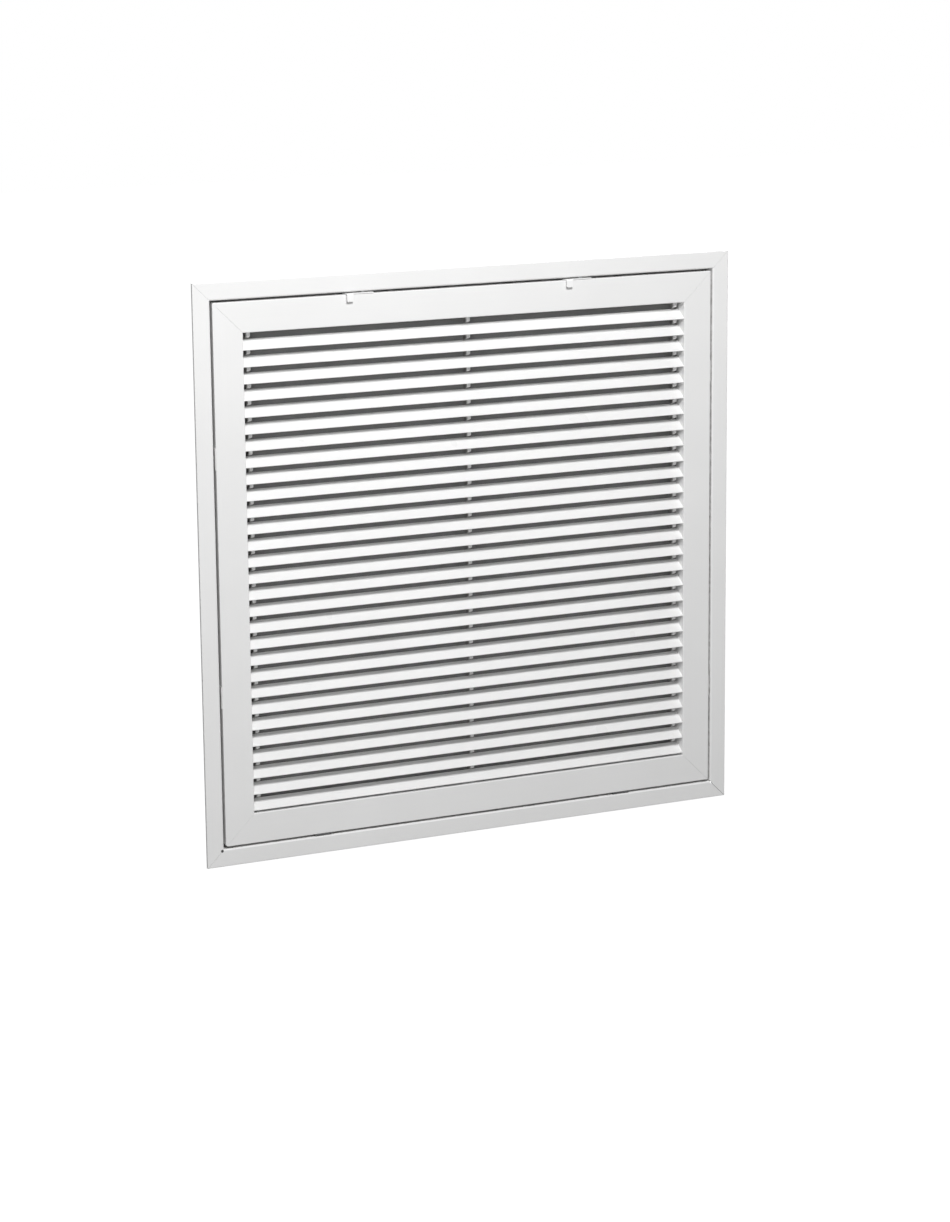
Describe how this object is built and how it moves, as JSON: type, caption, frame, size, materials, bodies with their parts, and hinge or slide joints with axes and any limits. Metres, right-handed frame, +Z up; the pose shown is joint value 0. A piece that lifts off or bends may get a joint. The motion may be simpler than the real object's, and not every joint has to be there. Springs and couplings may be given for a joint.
{
  "type": "return air filter grille",
  "caption": "Square white return air grille: a mitred flange frame with a neck that holds a panel filter, and a bottom-hinged louvred door with sliding thumb latches.",
  "frame": {"origin": "centre of the neck on the wall plane, where the flange's lip bears on the wall", "axes": "+Z up, +Y into the duct, -Y towards the room, +X to the right as seen from the room"},
  "size_m": [0.673, 0.0597, 0.673],
  "materials": {
    "frame_paint": "satin white enamel",
    "door_paint": "satin white enamel",
    "louvre_paint": "satin white enamel",
    "hardware_paint": "satin white enamel",
    "hinge_steel": "black oxide",
    "bright_steel": "zinc plated",
    "filter_card": "plain beverage board",
    "filter_media": "charcoal nonwoven",
    "side_pad": "matt"
  },
  "bodies": {
    "frame": {"frame_bottom_rail": "frame_paint", "frame_top_rail": "frame_paint", "frame_left_rail": "frame_paint", "frame_right_rail": "frame_paint", "frame_corner_keys": "bright_steel", "hinge_frame_leaf_left": "hinge_steel", "hinge_frame_leaf_right": "hinge_steel", "hinge_pin_left": "hinge_steel", "hinge_pin_right": "hinge_steel", "keeper_left": "hardware_paint", "keeper_right": "hardware_paint", "filter_frame": "filter_card", "filter_media": "filter_media", "filter_clips": "bright_steel"},
    "door": {"door_bottom_rail": "door_paint", "door_top_rail": "door_paint", "door_left_rail": "door_paint", "door_right_rail": "door_paint", "door_corner_keys": "bright_steel", "louvre_01": "louvre_paint", "louvre_02": "louvre_paint", "louvre_03": "louvre_paint", "louvre_04": "louvre_paint", "louvre_05": "louvre_paint", "louvre_06": "louvre_paint", "louvre_07": "louvre_paint", "louvre_08": "louvre_paint", "louvre_09": "louvre_paint", "louvre_10": "louvre_paint", "louvre_11": "louvre_paint", "louvre_12": "louvre_paint", "louvre_13": "louvre_paint", "louvre_14": "louvre_paint", "louvre_15": "louvre_paint", "louvre_16": "louvre_paint", "louvre_17": "louvre_paint", "louvre_18": "louvre_paint", "louvre_19": "louvre_paint", "louvre_20": "louvre_paint", "louvre_21": "louvre_paint", "louvre_22": "louvre_paint", "louvre_23": "louvre_paint", "louvre_24": "louvre_paint", "louvre_25": "louvre_paint", "louvre_26": "louvre_paint", "louvre_27": "louvre_paint", "louvre_28": "louvre_paint", "louvre_29": "louvre_paint", "mullion_left": "louvre_paint", "mullion_centre": "louvre_paint", "mullion_right": "louvre_paint", "hinge_door_leaf_left": "hinge_steel", "hinge_door_leaf_right": "hinge_steel", "latch_rivets": "bright_steel", "side_pads": "side_pad"},
    "latch_left": {"latch_left": "hardware_paint"},
    "latch_right": {"latch_right": "hardware_paint"}
  },
  "joints": [
    {"name": "door_hinge", "type": "hinge", "parent": "frame", "child": "door", "pos_m": [0, -0.0016, -0.3147], "axis": [1, 0, 0], "range_deg": [0, 90]},
    {"name": "latch_left_slide", "type": "slide", "parent": "door", "child": "latch_left", "axis": [1, 0, 0], "range_m": [0, 0.012]},
    {"name": "latch_right_slide", "type": "slide", "parent": "door", "child": "latch_right", "axis": [1, 0, 0], "range_m": [0, 0.012]}
  ]
}
